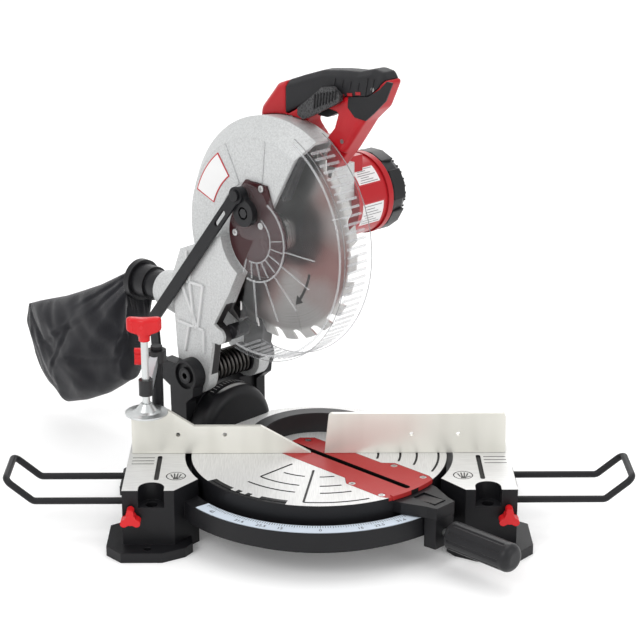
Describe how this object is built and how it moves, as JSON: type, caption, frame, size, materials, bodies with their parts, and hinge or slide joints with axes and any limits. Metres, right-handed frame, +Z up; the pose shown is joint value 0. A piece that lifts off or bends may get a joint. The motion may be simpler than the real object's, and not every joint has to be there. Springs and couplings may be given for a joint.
{
  "type": "mitre saw",
  "caption": "Compound mitre saw: round table, fence, wing rods, hold-down clamp, tilting bracket, sprung cutting head, clear guard, motor, D-handle and dust bag.",
  "frame": {"origin": "on the mitre axis at bench level, at the middle of the bench bolt holes", "axes": "+Z up, +Y away from the operator (fence face is the plane y=0), +X to the operator's right"},
  "size_m": [0.7574, 0.5772, 0.543],
  "materials": {
    "base_paint": "satin",
    "machined": "satin",
    "cast_silver": "satin",
    "black_paint": "satin",
    "steel": "satin",
    "zinc": "satin",
    "blade_steel": "satin",
    "red_plastic": "satin",
    "black_plastic": "matte",
    "clear_plastic": "clear",
    "dark_cover": "satin",
    "rubber_grip": "matte",
    "scale_label": "satin",
    "bag_cloth": "woven",
    "copper_iron": "satin"
  },
  "bodies": {
    "base": {"base_casting": "base_paint", "fence": "machined", "fence_bolts": "steel", "mitre_scale": "scale_label", "mitre_pivot_bolt": "steel", "clamp_post": "black_paint"},
    "table": {"turntable": "machined", "kerf_insert": "red_plastic", "insert_screws": "steel", "bevel_bolt": "steel", "bevel_scale": "scale_label"},
    "lock": {"lock_handle": "rubber_grip", "lock_shank": "zinc"},
    "detent": {"detent_lever": "black_plastic"},
    "bevel": {"bevel_bracket": "black_paint", "link_pin": "steel", "pivot_shaft": "steel", "return_spring": "steel", "spring_spool": "black_plastic"},
    "bevel_lock": {"bevel_lever": "black_plastic"},
    "head": {"head_casting": "cast_silver", "centre_cover": "dark_cover", "cover_screws": "steel", "guard_bolt": "steel", "stop_roller": "rubber_grip", "arbor_bearing": "steel", "stator": "copper_iron", "motor_bearing": "steel", "gearbox": "cast_silver", "motor_housing": "red_plastic", "motor_cap": "black_plastic", "brush_caps": "black_plastic", "handle_body": "red_plastic", "handle_grip": "rubber_grip", "dust_adapter": "black_plastic", "bag_collar": "black_plastic", "dust_bag": "bag_cloth"},
    "guard": {"lower_guard": "clear_plastic", "guard_crank": "black_plastic"},
    "link": {"guard_link": "black_paint"},
    "arbor": {"blade": "blade_steel", "blade_flanges": "steel", "arbor_bolt": "steel", "arbor_shaft": "steel", "final_gear": "steel"},
    "rotor": {"armature": "copper_iron", "fan": "black_plastic"},
    "trigger_body": {"trigger": "black_plastic"},
    "release": {"guard_lever": "black_plastic"},
    "wing_left_body": {"wing_left": "black_paint"},
    "wing_right_body": {"wing_right": "black_paint"},
    "wing_knob_left_body": {"wing_knob_left": "red_plastic"},
    "wing_knob_right_body": {"wing_knob_right": "red_plastic"},
    "clamp_swing_body": {"clamp_arm": "zinc"},
    "clamp_pad_body": {"clamp_pad": "zinc"},
    "clamp_screw_body": {"clamp_spindle": "zinc", "clamp_knob": "red_plastic"},
    "clamp_side_body": {"clamp_side_knob": "red_plastic"}
  },
  "joints": [
    {"name": "mitre_turn", "type": "hinge", "parent": "base", "child": "table", "pos_m": [0, 0, 0.05], "axis": [0, 0, 1], "range_deg": [-92, 2]},
    {"name": "lock_turn", "type": "hinge", "parent": "table", "child": "lock", "pos_m": [0.17678, -0.17678, 0.041], "axis": [0.7071, -0.7071, 0], "range_deg": [0, 120]},
    {"name": "detent_press", "type": "hinge", "parent": "table", "child": "detent", "pos_m": [0.11314, -0.11314, 0.068], "axis": [0.7071, 0.7071, 0], "range_deg": [0, 4], "stiffness_Nm_per_rad": 0.5, "springref_deg": -5.73},
    {"name": "bevel_tilt", "type": "hinge", "parent": "table", "child": "bevel", "pos_m": [-0.12728, 0.12728, 0.078], "axis": [0.7071, -0.7071, 0], "range_deg": [0, 22.5]},
    {"name": "bevel_lock_turn", "type": "hinge", "parent": "bevel", "child": "bevel_lock", "pos_m": [-0.14142, 0.14142, 0.078], "axis": [0.7071, -0.7071, 0], "range_deg": [0, 60]},
    {"name": "chop", "type": "hinge", "parent": "bevel", "child": "head", "pos_m": [-0.1195, 0.1195, 0.147], "axis": [0.7071, 0.7071, 0], "range_deg": [0, 48], "stiffness_Nm_per_rad": 6, "springref_deg": -143.24},
    {"name": "guard_swing", "type": "hinge", "parent": "head", "child": "guard", "pos_m": [-0.08061, 0.02828, 0.366], "axis": [-0.7071, -0.7071, 0], "range_deg": [0, 104.5]},
    {"name": "link_swing", "type": "hinge", "parent": "guard", "child": "link", "pos_m": [-0.09447, 0.02658, 0.38625], "axis": [-0.7071, -0.7071, 0], "range_deg": [-97.5, 0]},
    {"name": "blade_spin", "type": "hinge", "parent": "head", "child": "arbor", "pos_m": [-0.04773, 0.04773, 0.336], "axis": [0.7071, 0.7071, 0], "continuous": true},
    {"name": "motor_spin", "type": "hinge", "parent": "head", "child": "rotor", "pos_m": [0.03379, 0.09349, 0.36779], "axis": [0.7071, 0.7071, 0], "continuous": true},
    {"name": "trigger_squeeze", "type": "hinge", "parent": "head", "child": "trigger_body", "pos_m": [0.00212, 0.04313, 0.501], "axis": [-0.7071, -0.7071, 0], "range_deg": [0, 7], "stiffness_Nm_per_rad": 0.3, "springref_deg": -22.92},
    {"name": "guard_release", "type": "hinge", "parent": "head", "child": "release", "pos_m": [-0.01838, 0.03253, 0.481], "axis": [0.7071, 0.7071, 0], "range_deg": [0, 5], "stiffness_Nm_per_rad": 0.3, "springref_deg": -22.92},
    {"name": "wing_left_slide", "type": "slide", "parent": "base", "child": "wing_left_body", "axis": [-1, 0, 0], "range_m": [0, 0.05]},
    {"name": "wing_right_slide", "type": "slide", "parent": "base", "child": "wing_right_body", "axis": [1, 0, 0], "range_m": [0, 0.05]},
    {"name": "wing_left_lock", "type": "hinge", "parent": "base", "child": "wing_knob_left_body", "pos_m": [-0.214, -0.107, 0.048], "axis": [0, -1, 0], "range_deg": [0, 180]},
    {"name": "wing_right_lock", "type": "hinge", "parent": "base", "child": "wing_knob_right_body", "pos_m": [0.214, -0.107, 0.048], "axis": [0, -1, 0], "range_deg": [0, 180]},
    {"name": "clamp_swing", "type": "hinge", "parent": "base", "child": "clamp_swing_body", "pos_m": [-0.191, 0.03, 0.19], "axis": [0, 0, 1], "range_deg": [-45, 20]},
    {"name": "clamp_press", "type": "slide", "parent": "clamp_swing_body", "child": "clamp_pad_body", "axis": [0, 0, 1], "range_m": [0, 0.0098]},
    {"name": "clamp_screw_turn", "type": "hinge", "parent": "clamp_pad_body", "child": "clamp_screw_body", "pos_m": [-0.2015, -0.008, 0.18], "axis": [0, 0, 1], "range_deg": [0, 360]},
    {"name": "clamp_side_turn", "type": "hinge", "parent": "clamp_swing_body", "child": "clamp_side_body", "pos_m": [-0.2, 0.03, 0.191], "axis": [-1, 0, 0], "range_deg": [0, 180]}
  ],
  "couplings": [
    {"joint": "guard_swing", "follows": "chop", "ratio": 2.1553},
    {"joint": "link_swing", "follows": "chop", "ratio": -2.009},
    {"joint": "motor_spin", "follows": "blade_spin", "ratio": -3.6429}
  ]
}
